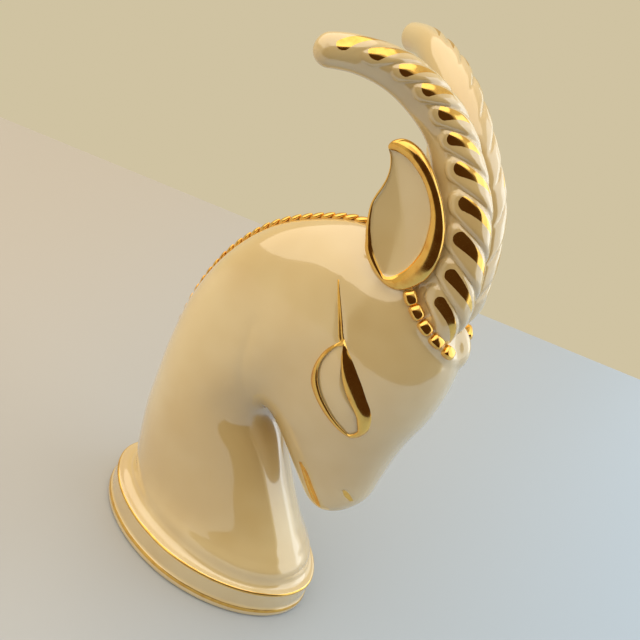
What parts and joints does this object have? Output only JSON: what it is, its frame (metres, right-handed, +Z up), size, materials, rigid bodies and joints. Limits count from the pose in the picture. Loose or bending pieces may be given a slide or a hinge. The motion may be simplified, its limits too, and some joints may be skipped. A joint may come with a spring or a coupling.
{
  "type": "ceramic gazelle figurine",
  "caption": "Glazed ceramic bust of a gazelle on an oval plinth, head bowed, ringed horns swept back; a free-standing ornament.",
  "frame": {"origin": "on the ground, under the middle of the bust's bounding box", "axes": "+Z up, +X the way the animal faces, XZ its plane of symmetry"},
  "size_m": [0.1406, 0.1006, 0.2993],
  "materials": {
    "glazed_ceramic": "glossy ivory glaze with gold lustre trim"
  },
  "bodies": {
    "root": {"gazelle_bust": "glazed_ceramic"}
  },
  "joints": []
}
